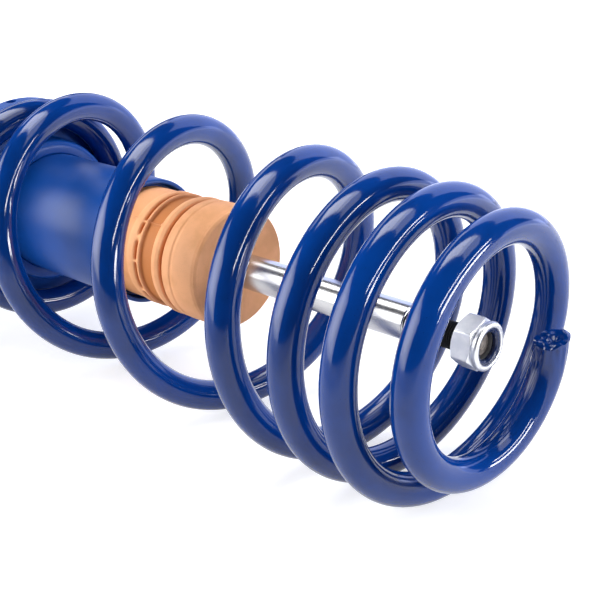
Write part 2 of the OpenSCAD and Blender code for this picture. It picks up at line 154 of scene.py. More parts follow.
class StrutStopSizes(bpy.types.PropertyGroup):
    """The foam bump stop"""

    groove: length_prop("Groove depth", "Depth of the narrow grooves", 2.8 * MM)
    valley: length_prop("Valley depth", "Depth of the wide valley", 2.2 * MM)
    flash: length_prop("Flash height", "Height of the mould's parting lines", 0.6 * MM)
    webs: FloatProperty(
        name="Webs", description="Height share of the small webs across the first groove",
        default=1, min=0, max=1, subtype="FACTOR",
    )


class StrutNutSizes(bpy.types.PropertyGroup):
    """The locking nut"""

    flats: length_prop("Flats", "Width across the flats", 17 * MM)
    hex_len: length_prop("Hexagon", "Height of the hexagonal part", 8 * MM)
    turn: angle_prop("Turn", "How far the nut stands turned on its thread", 8)
    mouth_d: length_prop("Mouth", "Opening of the rolled collar", 13.4 * MM)


class StrutEyeSizes(bpy.types.PropertyGroup):
    """The lower eye"""

    wall: length_prop("Ring wall", "Wall of the eye ring", 4 * MM)
    hole_d: length_prop("Bolt hole", "Bolt hole in the sleeve", 12.2 * MM)
    neck_d: length_prop("Neck", "Diameter of the neck under the eye", 32 * MM)
    teeth: IntProperty(
        name="Serrations", description="Serrations on each end of the sleeve", default=28, min=3
    )
    weld_d: length_prop("Weld", "Width of the weld beads", 4.6 * MM)


class StrutColours(bpy.types.PropertyGroup):
    """Finishes"""

    spring_blue: colour_prop("Spring", "Powder coat of the spring", (0.0, 0.036, 0.222))
    tube_blue: colour_prop("Tube", "Paint of the tube and the seat", (0.0, 0.062, 0.325))
    foam: colour_prop("Foam", "Foam of the bump stop", (0.95, 0.46, 0.215))
    nylon: colour_prop("Nylon", "Ring in the nut", (0.008, 0.018, 0.07))


# ---------------------------------------------------------------- node graphs


class Link:
    """A node's socket with arithmetic: an expression on links adds its Math nodes."""

    def __init__(self, graph, socket):
        self.graph = graph
        self.socket = socket

    def maths(self, operation, *values, **settings):
        settings["operation"] = operation
        return self.graph.add("ShaderNodeMath", settings, dict(enumerate(values)))

    def __add__(self, other):
        return self.maths("ADD", self, other)

    def __sub__(self, other):
        return self.maths("SUBTRACT", self, other)

    def __rsub__(self, other):
        return self.maths("SUBTRACT", other, self)

    def __mul__(self, other):
        return self.maths("MULTIPLY", self, other)

    def __truediv__(self, other):
        return self.maths("DIVIDE", self, other)

    __radd__ = __add__
    __rmul__ = __mul__

    def sin(self):
        return self.maths("SINE", self)

    def cos(self):
        return self.maths("COSINE", self)

    def tan(self):
        return self.maths("TANGENT", self)

    def sqrt(self):
        return self.maths("SQRT", self)

    def clamp(self):
        """Held between 0 and 1."""
        return self.maths("ADD", self, 0.0, use_clamp=True)


class Graph:
    """Adds nodes to a shader or geometry tree."""

    def __init__(self, tree):
        self.tree = tree

    def link(self, node, key=0):
        return Link(self, node.outputs[key])

    def node(self, kind, settings=None, sockets=None):
        made = self.tree.nodes.new(kind)
        for key, value in (settings or {}).items():
            if key == "curve":
                points = made.mapping.curves[0].points
                for _ in value[2:]:
                    points.new(0.5, 0.5)
                for point, (x, y) in zip(points, value):
                    point.location = (x, y)
                    point.handle_type = "VECTOR"
                made.mapping.update()
            else:
                setattr(made, key, value)
        for key, value in (sockets or {}).items():
            if isinstance(value, Link):
                self.tree.links.new(value.socket, made.inputs[key])
            else:
                made.inputs[key].default_value = value
        return made

    def add(self, kind, settings=None, sockets=None, out=0):
        return self.link(self.node(kind, settings, sockets), out)

    def vector(self, x=0.0, y=0.0, z=0.0):
        return self.add("ShaderNodeCombineXYZ", sockets={0: x, 1: y, 2: z})

    def white_share(self, glossy_share):
        """1 for rays from the camera or let through, glossy_share for reflected ones, else 0."""
        path = self.node("ShaderNodeLightPath")
        keys = ("Is Camera Ray", "Is Glossy Ray", "Is Transmission Ray")
        camera, glossy, through = (self.link(path, key) for key in keys)
        return (camera + through + glossy * glossy_share).clamp()


class Shader(Graph):
    """A material's graph with the few patterns that the finishes share."""

    def __init__(self, name):
        self.material = bpy.data.materials.new(name)
        self.material.use_nodes = True
        super().__init__(self.material.node_tree)
        self.tree.nodes.clear()
        self.place = self.add("ShaderNodeTexCoord", out="Object")

    def noise(self, scale, detail=3.0, rough=0.5, at=None):
        sockets = {"Vector": at or self.place, "Scale": scale, "Detail": detail, "Roughness": rough}
        return self.add("ShaderNodeTexNoise", sockets=sockets)

    def cells(self, scale, feature="F1"):
        sockets = {"Vector": self.place, "Scale": scale}
        return self.add("ShaderNodeTexVoronoi", {"feature": feature}, sockets)

    def stretch(self, x, y, z):
        return self.add("ShaderNodeMapping", sockets={"Vector": self.place, "Scale": (x, y, z)})

    def axes(self):
        node = self.node("ShaderNodeSeparateXYZ", sockets={0: self.place})
        return [self.link(node, i) for i in range(3)]

    def band(self, value, low, high):
        """0 below low, 1 above high."""
        sockets = {"Value": value, "From Min": low, "From Max": high}
        return self.add("ShaderNodeMapRange", {"interpolation_type": "SMOOTHSTEP"}, sockets)

    def mix(self, share, a, b):
        node = self.node("ShaderNodeMix", {"data_type": "RGBA"}, {0: share, 6: a, 7: b})
        return self.link(node, 2)

    def bump(self, height, distance, strength):
        sockets = {"Height": height, "Distance": distance, "Strength": strength}
        return self.add("ShaderNodeBump", sockets=sockets)

    def output(self, surface):
        self.node("ShaderNodeOutputMaterial", sockets={"Surface": surface})
        return self.material

    def finish(self, base, roughness, bump, **sockets):
        """The material from its colour, roughness and bump: height, depth and strength."""
        names = {key.replace("_", " "): value for key, value in sockets.items()}
        names |= {"Base Color": base, "Roughness": roughness, "Normal": self.bump(*bump)}
        return self.output(self.add("ShaderNodeBsdfPrincipled", sockets=names))


def rgba(colour, gain=1.0):
    """An opaque colour, brighter or darker by a gain."""
    return tuple(min(1.0, c * gain) for c in colour) + (1.0,)


# ---------------------------------------------------------------- finishes


def powder_coat():
    """Deep glossy coat on the spring: faint orange peel, dust specks and a little tone."""
    s = Shader("glossy_powder_coat")
    blue = bpy.context.scene.strut_colours.spring_blue
    tone = s.noise(38, 4, 0.55)
    base = s.mix(s.band(tone, 0.35, 0.65), rgba(blue, 0.88), rgba(blue, 1.12))
    speck = 1 - s.band(s.cells(420), 0.05, 0.11)
    base = s.mix(speck * 0.5, base, rgba(blue, 0.45))
    peel = s.noise(300, 2, 0.5)
    wave = s.noise(70, 1, 0.4)
    height = peel * 0.6 + wave * 1.0 + speck * 0.5
    rough = s.band(s.noise(160, 3, 0.6), 0.3, 0.8) * 0.05 + 0.07
    return s.finish(base, rough, (height, 0.06 * MM, 0.5), IOR=1.52)


def satin_paint():
    """Satin paint on the tube, cap and seat: soft shine, fine grain, faint handling marks."""
    s = Shader("satin_blue_paint")
    blue = bpy.context.scene.strut_colours.tube_blue
    tone = s.noise(26, 4, 0.6)
    base = s.mix(s.band(tone, 0.3, 0.7), rgba(blue, 0.88), rgba(blue, 1.1))
    grain = s.noise(900, 2, 0.6)
    rub = s.band(s.noise(30, 5, 0.65, s.stretch(0.25, 1, 1)), 0.52, 0.72)
    rough = 0.33 + grain * 0.06 - rub * 0.05
    return s.finish(base, rough, (grain + s.noise(120, 2, 0.5) * 0.7, 0.05 * MM, 0.35), IOR=1.4)


def weld_paint():
    """The same paint over a weld, a little glossier and uneven."""
    s = Shader("painted_weld")
    blue = bpy.context.scene.strut_colours.tube_blue
    base = s.mix(s.band(s.noise(90, 4, 0.6), 0.35, 0.65), rgba(blue, 0.7), rgba(blue, 1.05))
    rough = 0.26 + s.noise(200) * 0.12
    height = s.noise(450, 3, 0.6)
    return s.finish(base, rough, (height, 0.12 * MM, 0.5), IOR=1.55, Coat_Weight=0.3)


def hard_chrome():
    """Ground and chromed rod: fine rings round it, a trace of haze."""
    s = Shader("hard_chrome")
    rings = s.noise(60, 2, 0.5, s.stretch(160, 1, 1))
    haze = s.noise(40, 3, 0.5)
    base = s.mix(haze, (0.58, 0.58, 0.6, 1), (0.66, 0.66, 0.67, 1))
    rough = 0.19 + haze * 0.06 + rings * 0.03
    return s.finish(base, rough, (rings, 0.004 * MM, 0.5), Metallic=1.0)


def zinc_plate():
    """Bright zinc on the nut and the sleeve: tumbled edges, tool marks, small dents."""
    s = Shader("zinc_plate")
    cloud = s.noise(180, 4, 0.6)
    marks = s.noise(55, 3, 0.6, s.stretch(1, 12, 12))
    dents = s.band(s.cells(260, "SMOOTH_F1"), 0.1, 0.45)
    base = s.mix(s.band(cloud, 0.3, 0.7), (0.82, 0.84, 0.87, 1), (0.97, 0.97, 0.98, 1))
    rough = 0.24 + cloud * 0.18 + marks * 0.06
    height = marks * 0.6 + dents * 0.5 + s.noise(600, 2) * 0.3
    return s.finish(base, rough, (height, 0.09 * MM, 0.5), Metallic=1.0)


def black_oxide():
    """Blackened thread of the stud, with bare steel showing on its crests."""
    s = Shader("black_oxide")
    patch = s.band(s.noise(320, 4, 0.65), 0.55, 0.8)
    base = s.mix(patch * 0.35, (0.012, 0.012, 0.013, 1), (0.09, 0.08, 0.07, 1))
    rough = 0.42 + s.noise(500) * 0.2
    return s.finish(base, rough, (s.noise(800, 3), 0.04 * MM, 0.6), Metallic=0.6)


def stud_steel():
    """The stud's bare end."""
    s = Shader("stud_end_steel")
    rings = s.noise(300, 3, 0.6)
    base = s.mix(s.band(rings, 0.35, 0.7), (0.08, 0.068, 0.062, 1), (0.27, 0.24, 0.225, 1))
    rough = 0.35 + rings * 0.25
    return s.finish(base, rough, (s.noise(900, 3), 0.05 * MM, 0.5), Metallic=0.8)


def foam_skin():
    """Moulded polyurethane foam: closed skin, fine pores, cloudy ochre, painted shade in pores and
    grooves.
    """
    s = Shader("foam_skin")
    foam = bpy.context.scene.strut_colours.foam
    x, y, z = s.axes()
    edge, rim = STOP_HIGH.x - STOP_BODY, STOP_HIGH.z
    radius = (y * y + z * z).sqrt()
    rings = 1 - s.band(x, edge + 0.2 * MM, edge + 0.6 * MM)
    # Painted shade: the wide valley and the narrow grooves under the rim are coloured darker and
    # more orange, standing in for the shade in them
    valley_shade = rings * (1 - s.band(radius, rim - 2.1 * MM, rim - 0.8 * MM))
    groove_shade = rings * (1 - s.band(radius, rim - 2.75 * MM, rim - 2.35 * MM))
    cloud = s.noise(60, 5, 0.6)
    dull = (foam[0] * 0.9, foam[1] * 0.85, foam[2] * 0.76, 1)
    base = s.mix(s.band(cloud, 0.3, 0.62), dull, rgba(foam, 1.05))
    base = s.mix(valley_shade * 0.95, base, (foam[0] * 0.62, foam[1] * 0.42, foam[2] * 0.2, 1))
    base = s.mix(groove_shade * 0.85, base, (foam[0], foam[1] * 1.05, foam[2] * 0.45, 1))
    pores = 1 - s.band(s.cells(1500), 0.12, 0.3)
    shaded_pores = pores * s.band(s.noise(400, 2), 0.45, 0.6)
    # Painted shade: the open pores are coloured darker for the shade inside them; the same mask
    # sinks them in the bump
    base = s.mix(shaded_pores * 0.35, base, rgba(foam, 0.6))
    height = s.noise(700, 3, 0.6) * 0.6 - shaded_pores * 1.2 + s.noise(120, 2) * 1.0
    return s.finish(base, 0.58 + cloud * 0.1, (height, 0.09 * MM, 0.5), IOR=1.45)


def nylon():
    """Glossy navy plastic of the nut's ring."""
    s = Shader("navy_nylon")
    colour = bpy.context.scene.strut_colours.nylon
    tone = s.noise(300, 3, 0.5)
    base = s.mix(tone, rgba(colour, 0.8), rgba(colour, 1.5))
    return s.finish(base, 0.16 + tone * 0.06, (s.noise(700, 2), 0.05 * MM, 0.4), IOR=1.53)


def black_rubber():
    """Moulded rubber, slightly bloomed."""
    s = Shader("moulded_rubber")
    bloom = s.band(s.noise(70, 4, 0.6), 0.4, 0.75)
    base = s.mix(bloom * 0.5, (0.014, 0.014, 0.015, 1), (0.045, 0.044, 0.042, 1))
    return s.finish(base, 0.52 + bloom * 0.16, (s.noise(1000, 3, 0.6), 0.06 * MM, 0.5))


def inner_metal(name, dark, light, rough):
    """Oiled metal of the pieces inside the tube, with turning marks round X."""
    s = Shader(name)
    marks = s.noise(40, 2, 0.5, s.stretch(40, 1, 1))
    stain = s.noise(90, 4, 0.6)
    base = s.mix(stain, (*dark, 1), (*light, 1))
    return s.finish(base, rough + marks * 0.1, (marks, 0.01 * MM, 0.5), Metallic=1.0)


def slide_plastic():
    """Brown filled plastic of the piston's band."""
    s = Shader("slide_band_plastic")
    tone = s.noise(350, 4, 0.6)
    base = s.mix(tone, (0.16, 0.08, 0.035, 1), (0.3, 0.16, 0.08, 1))
    return s.finish(base, 0.42 + tone * 0.1, (tone, 0.03 * MM, 0.4))


# ---------------------------------------------------------------- meshes


def rounded(corners, steps=5):
    """A closed outline. Each corner (x, r, fillet in mm) is turned into an arc."""
    made = []
    count = len(corners)
    for i, (x, y, fillet) in enumerate(corners):
        radius = fillet * MM
        here = Vector((x, y))
        before = Vector(corners[i - 1][:2]) - here
        after = Vector(corners[(i + 1) % count][:2]) - here
        if radius <= 0:
            made.append((x, y))
            continue
        before.normalize()
        after.normalize()
        half = before.angle(after) / 2
        reach = radius / math.tan(half)
        centre = here + (before + after).normalized() * (radius / math.sin(half))
        first, last = here + before * reach - centre, here + after * reach - centre
        turn = first.angle_signed(last)
        for k in range(steps + 1):
            v = Matrix.Rotation(-turn * k / steps, 2) @ first
            made.append((centre.x + v.x, centre.y + v.y))
    return made


def revolve(bm, outline, segments=160, axis="X", radius=None):
    """Revolves an outline of (place along the axis, radius) points into bm, with UVs in metres.
    radius(angle, r, place) may change a point's radius."""
    uv = bm.loops.layers.uv.verify()
    rows = []
    for place, r in outline:
        row = []
        for k in range(segments):
            angle = TURN * k / segments
            rr = radius(angle, r, place) if radius else r
            side, up = rr * math.sin(angle), rr * math.cos(angle)
            point = (place, -side, up) if axis == "X" else (side, place, up)
            row.append(bm.verts.new(point))
        rows.append(row)
    length = [0.0]
    for here, after in zip(outline, outline[1:] + outline[:1]):
        length.append(length[-1] + math.dist(here, after))
    widest = max(r for _, r in outline)
    for i in range(len(rows)):
        j = (i + 1) % len(rows)
        for k in range(segments):
            m = (k + 1) % segments
            face = bm.faces.new((rows[i][k], rows[i][m], rows[j][m], rows[j][k]))
            around = [k, k + 1, k + 1, k]
            along = [length[i], length[i], length[i + 1], length[i + 1]]
            for loop, a, v in zip(face.loops, around, along):
                loop[uv].uv = (a * TURN * widest / segments, v)


def object_from(bm, name):
    """Ends bm as a new, clean and smooth-shaded object."""
    bmesh.ops.remove_doubles(bm, verts=bm.verts, dist=MERGE)
    bmesh.ops.dissolve_degenerate(bm, edges=bm.edges, dist=MERGE / 10)
    bmesh.ops.recalc_face_normals(bm, faces=bm.faces)
    mesh = bpy.data.meshes.new(name)
    bm.to_mesh(mesh)
    bm.free()
    made = bpy.data.objects.new(name, mesh)
    bpy.context.scene.collection.objects.link(made)
    shade(made)
    return made


def shade(made, sharp=35):
    """Smooth shading, with edges above sharp degrees kept."""
    made.data.shade_smooth()
    made.data.set_sharp_from_angle(angle=math.radians(sharp))


def lathe(name, outline, **options):
    """A turned piece. The options are those of revolve."""
    bm = bmesh.new()
    revolve(bm, outline, **options)
    return object_from(bm, name)


def settle(made):
    """Turns a piece with modifiers into a plain mesh at the origin."""
    depsgraph = bpy.context.evaluated_depsgraph_get()
    mesh = bpy.data.meshes.new_from_object(made.evaluated_get(depsgraph))
    made.modifiers.clear()
    old = made.data
    made.data = mesh
    mesh.name = made.name
    bpy.data.meshes.remove(old)
    return made


def give(made, material, body, slot, *nodes):
    """Material, body and replaced nodes of a finished piece. The slot argument is not used."""
    made.data.materials.clear()
    made.data.materials.append(material)
    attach(made, body)
    if nodes:
        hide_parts(*nodes)


def geometry_tree(name, inputs):
    """A geometry tree with named inputs {label: kind}. Returns its graph and the inputs' links."""
    tree = bpy.data.node_groups.new(name, "GeometryNodeTree")
    tree.interface.new_socket("Geometry", in_out="OUTPUT", socket_type="NodeSocketGeometry")
    for label, kind in inputs.items():
        tree.interface.new_socket(label, in_out="INPUT", socket_type="NodeSocket" + kind)
    graph = Graph(tree)
    source = graph.node("NodeGroupInput")
    return graph, {label: graph.link(source, label) for label in inputs}


def run_tree(name, graph, material, values):
    """Runs a geometry tree on an empty mesh and keeps the result as a plain mesh."""
    made = bpy.data.objects.new(name, bpy.data.meshes.new(name))
    bpy.context.scene.collection.objects.link(made)
    modifier = made.modifiers.new("shape", "NODES")
    modifier.node_group = graph.tree
    for item in graph.tree.interface.items_tree:
        if item.in_out == "INPUT":
            modifier[item.identifier] = values[item.name]
    made.data.materials.append(material)
    return settle(made)


def close_tree(graph, geometry, material):
    """Ends a tree with real geometry that has its material."""
    geometry = graph.add("GeometryNodeRealizeInstances", sockets={0: geometry})
    geometry = graph.add("GeometryNodeSetMaterial", sockets={0: geometry, "Material": material})
    graph.node("NodeGroupOutput", sockets={0: geometry})


# ---------------------------------------------------------------- geometry trees


def string_of_points(graph, count, place):
    """A curve with count points, each set in its place by a field."""
    line = graph.add("GeometryNodeCurvePrimitiveLine")
    line = graph.add("GeometryNodeResampleCurve", sockets={"Curve": line, "Count": count})
    return graph.add("GeometryNodeSetPosition", sockets={"Geometry": line, "Position": place})


def close_with_copies(graph, material, count, place, **sockets):
    """Ends a tree with count copies of an instance, each set in its place by a field."""
    points = string_of_points(graph, count, place)
    points = graph.add("GeometryNodeCurveToPoints", {"mode": "EVALUATED"}, {0: points})
    sockets["Points"] = points
    placed = graph.add("GeometryNodeInstanceOnPoints", sockets=sockets)
    close_tree(graph, placed, material)


# Share of the close and of the open pitch, against the turn counted from the tip
CLOSE_SHARE = (
    (0, 0), (0.35, 0.36), (0.7, 0.92), (1.6, 1.06), (2.4, 1.02), (3, 0.92), (3.5, 0), (8, 0),
)
OPEN_SHARE = (
    (0, 0), (3, 0), (3.5, 0.76), (4, 0.91), (4.7, 1.05), (5.4, 1.02), (6, 0.85), (6.5, 0.02),
    (6.9, 0), (8, 0),
)
# Turns between which the coils change. The foot starts FOOT_TURNS before the wire's end.
WIDEN_TURNS = (0.0, 1.0)
OPEN_TURNS = (2.0, 4.5)
TILT_TURNS = (2.0, 5.5)
NOD_TURNS = (0.0, 6.5)
FOOT_TURNS, FOOT_DRAW_IN = 1.4, 1.2
# What a curve node's full width and height stand for
CURVE_TURNS, CURVE_SHARE = 8, 1.25
# The properties of the spring that feed its tree
COIL_INPUTS = {
    "Wire Diameter": "wire_d", "Close Diameter": "close_d", "Open Diameter": "open_d",
    "Tip Diameter": "tip_d", "Foot Diameter": "foot_d", "Turns": "turns",
    "Close Pitch": "close_pitch", "Open Pitch": "open_pitch", "Tip Angle": "clock",
    "Lean Down": "lean_down", "Lean Aside": "lean_side", "Bow": "bow",
    "Coil Tilt": "coil_tilt", "Coil Nod": "coil_nod", "Foot Y": "foot_y", "Foot Z": "foot_z",
}


def coil_tree(material):
    """A coil spring: the pitch law is summed along the wire, and a round section swept on it."""
    kinds = dict.fromkeys((*COIL_INPUTS, "Seat X"), "Float")
    graph, given = geometry_tree(
        "coil_spring_shape", {**kinds, "Points per Turn": "Int", "Sides": "Int"}
    )
    turns, wire = given["Turns"], given["Wire Diameter"]
    spans = turns * given["Points per Turn"]
    count = spans.maths("ROUND", spans) + 1
    step = turns / (count - 1)
    u = graph.add("GeometryNodeInputIndex") * step

    def share(stops, at):
        return graph.add(
            "ShaderNodeFloatCurve",
            {"curve": [(x / CURVE_TURNS, y / CURVE_SHARE) for x, y in stops]},
            {"Value": at / CURVE_TURNS},
        ) * CURVE_SHARE

    middle = u + step * 0.5
    pitch = share(CLOSE_SHARE, middle) * given["Close Pitch"]
    pitch = pitch + share(OPEN_SHARE, middle) * given["Open Pitch"]
    held = graph.node(
        "GeometryNodeAccumulateField", {"data_type": "FLOAT", "domain": "POINT"}, {0: pitch * step}
    )
    dropped = graph.link(held, "Trailing")
    last = graph.link(graph.node(
        "GeometryNodeFieldAtIndex", {"data_type": "FLOAT", "domain": "POINT"},
        {"Value": dropped, "Index": count - 1},
    ))
    rise = last - dropped

    def way(first, final):
        sockets = {"Value": u, "From Min": first, "From Max": final}
        return graph.add("ShaderNodeMapRange", sockets=sockets)

    wide, narrow = given["Open Diameter"], given["Tip Diameter"]
    foot = turns - FOOT_TURNS
    radius = (
        narrow + (given["Close Diameter"] - narrow) * way(*WIDEN_TURNS)
        + (wide - given["Close Diameter"]) * way(*OPEN_TURNS)
        + (given["Foot Diameter"] - wide) * way(foot, foot + FOOT_DRAW_IN)
    ) * 0.5
    angle = given["Tip Angle"] - u * TURN
    across, up = radius * angle.cos(), radius * angle.sin()
    tilt = given["Coil Tilt"].tan() * (1 - way(*TILT_TURNS))
    nod = given["Coil Nod"].tan() * (1 - way(*NOD_TURNS))
    height = rise / last
    bow = given["Bow"] * height * (1 - height) * 4
    place = graph.vector(
        given["Seat X"] + wire * 0.5 + rise + tilt * across + nod * up,
        given["Foot Y"] - rise * given["Lean Aside"].tan() + across,
        given["Foot Z"] - rise * given["Lean Down"].tan() + bow + up,
    )
    path = string_of_points(graph, count, place)
    path = graph.add("GeometryNodeSetCurveNormal", {"mode": "MINIMUM_TWIST"}, {0: path})
    sockets = {"Resolution": given["Sides"], "Radius": wire * 0.5}
    ring = graph.add("GeometryNodeCurvePrimitiveCircle", sockets=sockets)
    sockets = {"Curve": path, "Profile Curve": ring, "Fill Caps": True}
    close_tree(graph, graph.add("GeometryNodeCurveToMesh", sockets=sockets), material)
    return graph


# A ripple's length, in spacings, and its height, as a share of the bead's width
BEAD_OVERLAP, BEAD_FLAT = 3.2, 0.72


def bead_tree(material):
    """A weld bead: overlapping flat ripples along a circle round X. A saddle radius bends the
    circle onto an eye that lies across it."""
    kinds = dict.fromkeys(("Centre X", "Radius", "Width", "Saddle Radius"), "Float")
    graph, given = geometry_tree("weld_bead", {**kinds, "Ripples": "Int", "Seed": "Int"})
    radius, width, saddle = given["Radius"], given["Width"], given["Saddle Radius"]
    angle = graph.add("GeometryNodeInputIndex") * TURN / given["Ripples"]
    across, up = radius * angle.sin() * -1.0, radius * angle.cos()
    square = saddle * saddle - up * up
    bend = square.maths("MAXIMUM", square, 0.0).sqrt()
    spacing = radius * TURN / given["Ripples"]
    random = {"Min": 0.9, "Max": 1.1, "Seed": given["Seed"]}
    jitter = graph.add("FunctionNodeRandomValue", {"data_type": "FLOAT"}, random, out=1)
    sphere = {"Segments": 12, "Rings": 8, "Radius": 0.5}
    close_with_copies(
        graph, material, given["Ripples"], graph.vector(given["Centre X"] + bend, across, up),
        Instance=graph.add("GeometryNodeMeshUVSphere", sockets=sphere),
        Rotation=graph.vector(angle),
        Scale=graph.vector(width * jitter, spacing * BEAD_OVERLAP, width * BEAD_FLAT * jitter),
    )
    return graph


def teeth_tree(material):
    """Serrations: small blocks repeated round an axis along Y."""
    kinds = {"Size": "Vector", "Place": "Float", "Radius": "Float", "Count": "Int"}
    graph, given = geometry_tree("serrations", kinds)
    angle = graph.add("GeometryNodeInputIndex") * TURN / given["Count"]
    side, up = given["Radius"] * angle.sin(), given["Radius"] * angle.cos()
    close_with_copies(
        graph, material, given["Count"], graph.vector(side, given["Place"], up),
        Instance=graph.add("GeometryNodeMeshCube", sockets={"Size": given["Size"]}),
        Rotation=graph.vector(0.0, angle),
    )
    return graph


# ---------------------------------------------------------------- operators


class StrutPiece:
    """What the strut's operators share."""

    bl_options = {"REGISTER", "UNDO"}

    def execute(self, context):
        self.build(context.scene)
        return {"FINISHED"}


# The sheared ends of the wire, in shares of its radius: the rings that divide the end face, how
# far the shear reaches, the depth of the face and of the paint behind it, the lip on the outer
# side, the hollow, the sunken sides, the tear and the creases of the paint
FACE_RINGS, FACE_RING_WIDTH = 6, 0.13
SHEAR_REACH, FACE_DEPTH, PAINT_DEPTH = 3, 0.12, 0.1
LIP_WIDTH, LIP_DROP = 0.42, 0.15
HOLLOW_PLACE, HOLLOW_DEPTH, HOLLOW_SPREAD = 0.05, 0.3, 0.25
SIDE_SINK, INNER_SINK = 0.3, 0.4
TEAR_HEIGHT, TEAR_LOST_ON_LIP = 0.34, 0.16
CREASE_HEIGHT, CREASE_SINK, CREASE_REACH, CREASE_SIDE = 0.2, 0.05, 2.6, 0.7
TEARS = ((380, 0.6), (1000, 0.1))  # Scale of a noise and its share
CREASES = ((3.2, 0.45, 3, 1), (7, 0.8, 9, 0.5))  # Scales round and along, seed, share


class STRUT_OT_spring(StrutPiece, bpy.types.Operator):
    """Build the coil spring, with its sheared tip"""

    bl_idname = "strut.spring"
    bl_label = "Coil Spring"

    def build(self, scene):
        size = scene.strut_spring
        coat = powder_coat()
        foot = SEAT_HIGH.x - scene.strut_damper.hub_rise
        sizes = {label: getattr(size, key) for label, key in COIL_INPUTS.items()}
        spring = run_tree("spring", coil_tree(coat), coat, {
            **sizes, "Seat X": foot, "Points per Turn": 96, "Sides": 32,
        })
        self.shear_ends(spring, size.wire_d / 2)
        shade(spring, sharp=50)
        give(spring, coat, "tube", "blue_spring_paint", "coil_spring")
        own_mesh(spring)

    def shear_ends(self, spring, wire_r):
        """Gives both ends of the wire a sheared face: outer lip, torn hollow, creased paint."""
        bm = bmesh.new()
        bm.from_mesh(spring.data)
        for cap in [f for f in bm.faces if len(f.verts) > 4]:
            outward, centre = cap.normal.copy(), cap.calc_center_median()
            side = Vector((0, centre.y, centre.z))
            side = (side - outward * side.dot(outward)).normalized()
            across = outward.cross(side)
            for _ in range(FACE_RINGS):
                bmesh.ops.inset_region(bm, faces=[cap], thickness=wire_r * FACE_RING_WIDTH)
            bmesh.ops.poke(bm, faces=[cap])
            near = self.joined(bm, centre, wire_r * SHEAR_REACH)
            reach = [e for e in bm.edges if near.issuperset(e.verts)
                     and (e.verts[0].co - centre).dot(outward) < -PAINT_DEPTH * wire_r]
            bmesh.ops.subdivide_edges(bm, edges=reach, cuts=1, use_grid_fill=True)
            for v in self.joined(bm, centre, wire_r * SHEAR_REACH):
                place = (v.co - centre) / wire_r
                out, over, up = place.dot(side), place.dot(across), place.dot(outward)
                if up > -FACE_DEPTH:
                    rough = sum(noise.noise(v.co * scale) * share for scale, share in TEARS)
                    hollow = math.exp(-((out - HOLLOW_PLACE) ** 2 + over ** 2) / HOLLOW_SPREAD)
                    lip = max(0, out) ** 3
                    sunk = SIDE_SINK * max(0, over) ** 2 + INNER_SINK * max(0, -out) ** 2
                    tear = rough * (TEAR_HEIGHT - TEAR_LOST_ON_LIP * lip)
                    rise = tear - LIP_DROP * lip - HOLLOW_DEPTH * hollow - sunk
                    v.co += outward * wire_r * rise
                    v.co += side * wire_r * LIP_WIDTH * lip
                    continue
                fade = max(0, 1 + up / CREASE_REACH) ** 2 * max(0, min(1, CREASE_SIDE - out))
                angle = math.atan2(over, out)
                crease = sum(
                    share * noise.noise(Vector((angle * about, up * along, seed)))
                    for about, along, seed, share in CREASES
                )
                around = (place - outward * up).normalized()
                v.co += around * wire_r * (crease * CREASE_HEIGHT - CREASE_SINK) * fade
        bm.to_mesh(spring.data)
        bm.free()

    def joined(self, bm, centre, reach):
        """The vertices round centre that edges join within reach: a neighbouring coil stays out."""
        front = [min(bm.verts, key=lambda v: (v.co - centre).length)]
        found = set(front)
        while front:
            v = front.pop()
            for other in (e.other_vert(v) for e in v.link_edges):
                if other not in found and (other.co - centre).length < reach:
                    found.add(other)
                    front.append(other)
        return found


# Drain holes in the seat's rim, and their distance from its edge
DRAINS, DRAIN_PLACE = 3, 3.75 * MM


class STRUT_OT_seat(StrutPiece, bpy.types.Operator):
    """Build the pressed spring seat with its hub, turned-back rim and drain holes"""

    bl_idname = "strut.seat"
    bl_label = "Spring Seat"

    def build(self, scene):
        size = scene.strut_damper
        t = size.sheet
        hub_x, seat_x, rim_x = SEAT_HIGH.x, SEAT_HIGH.x - size.hub_rise, SEAT_LOW.x
        bore = TUBE_HIGH.z + 2 * PLAY
        hub_r, rim_r = TUBE_HIGH.z + size.hub_step, SEAT_HIGH.z
        bend = 3.2
        outline = rounded([
            (hub_x, bore, 0.6), (hub_x, hub_r, bend), (seat_x, hub_r, 1.2), (seat_x, rim_r, bend),
            (rim_x, rim_r, 0.9), (rim_x, rim_r - t, 0.9), (seat_x - t, rim_r - t, 0.8),
            (seat_x - t, hub_r - t, bend), (hub_x - t, hub_r - t, 0.5), (hub_x - t, bore, 0.3),
        ], 7)
        seat = lathe("seat", outline, segments=192)
        cutter = bmesh.new()
        for k in range(DRAINS):
            turn = Matrix.Rotation(size.drain_clock + k * TURN / DRAINS, 4, "X")
            place = Matrix.Translation((rim_x + DRAIN_PLACE, 0, rim_r))
            bmesh.ops.create_cone(
                cutter, cap_ends=True, segments=32, radius1=size.drain_d / 2,
                radius2=size.drain_d / 2, depth=12 * MM, matrix=turn @ place,
            )
        holes = object_from(cutter, "seat_holes")
        cut = seat.modifiers.new("holes", "BOOLEAN")
        cut.object, cut.solver = holes, "EXACT"
        settle(seat)
        bpy.data.objects.remove(holes)
        shade(seat)
        give(seat, satin_paint(), "tube", "blue_paint", "spring_seat")


# The tube's wall, and the depth of the cup in its cap
TUBE_WALL, CUP_DEPTH = 2 * MM, 4.5 * MM


